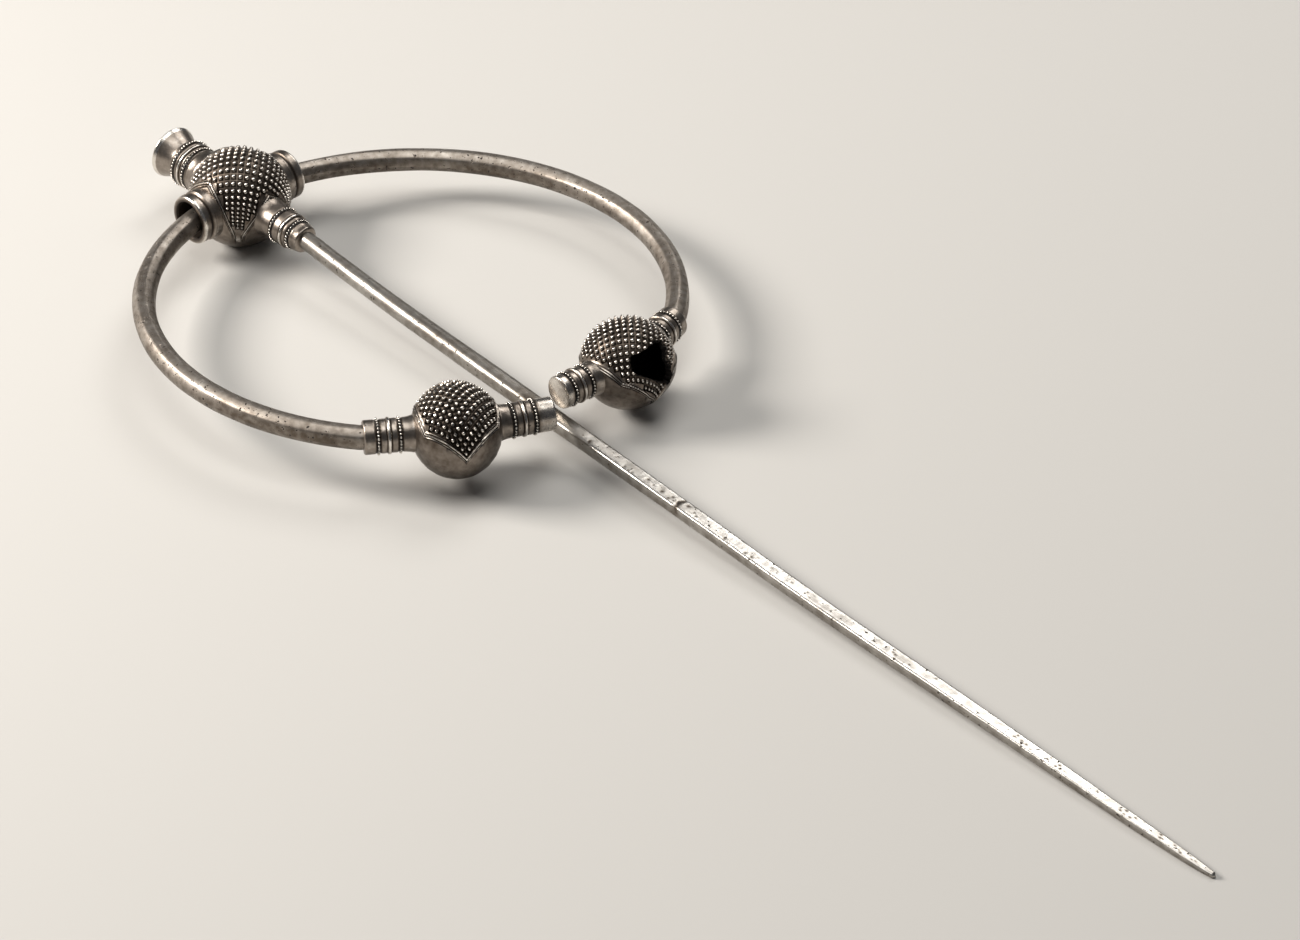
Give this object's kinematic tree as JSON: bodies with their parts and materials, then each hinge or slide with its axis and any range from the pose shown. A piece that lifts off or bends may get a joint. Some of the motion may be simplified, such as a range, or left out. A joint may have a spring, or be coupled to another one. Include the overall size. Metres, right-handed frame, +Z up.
{
  "type": "penannular brooch",
  "caption": "Silver penannular brooch lying flat: open round hoop with studded hollow ball ends, and a long tapering pin whose studded ball head is bored and swings on the hoop.",
  "frame": {"origin": "on the surface it lies on, on the small flat under the pin's head ball, in line with the shaft", "axes": "+X along the pin from its head to its tip, +Y towards the broken ball end, +Z up"},
  "size_m": [0.3753, 0.1411, 0.0268],
  "materials": {
    "tarnished_silver": "worn satin, dark in the hollows",
    "bright_silver": "worn bright, with small dark pits"
  },
  "bodies": {
    "pin": {"pin_head": "tarnished_silver", "pin_shaft": "bright_silver"},
    "hoop": {"hoop": "tarnished_silver", "terminal_left": "tarnished_silver", "terminal_right": "tarnished_silver"}
  },
  "joints": [
    {"name": "hoop_swing", "type": "hinge", "parent": "pin", "child": "hoop", "pos_m": [0, -0.0014, 0.01275], "axis": [0.0523, -0.9986, 0], "range_deg": [0, 350]}
  ]
}
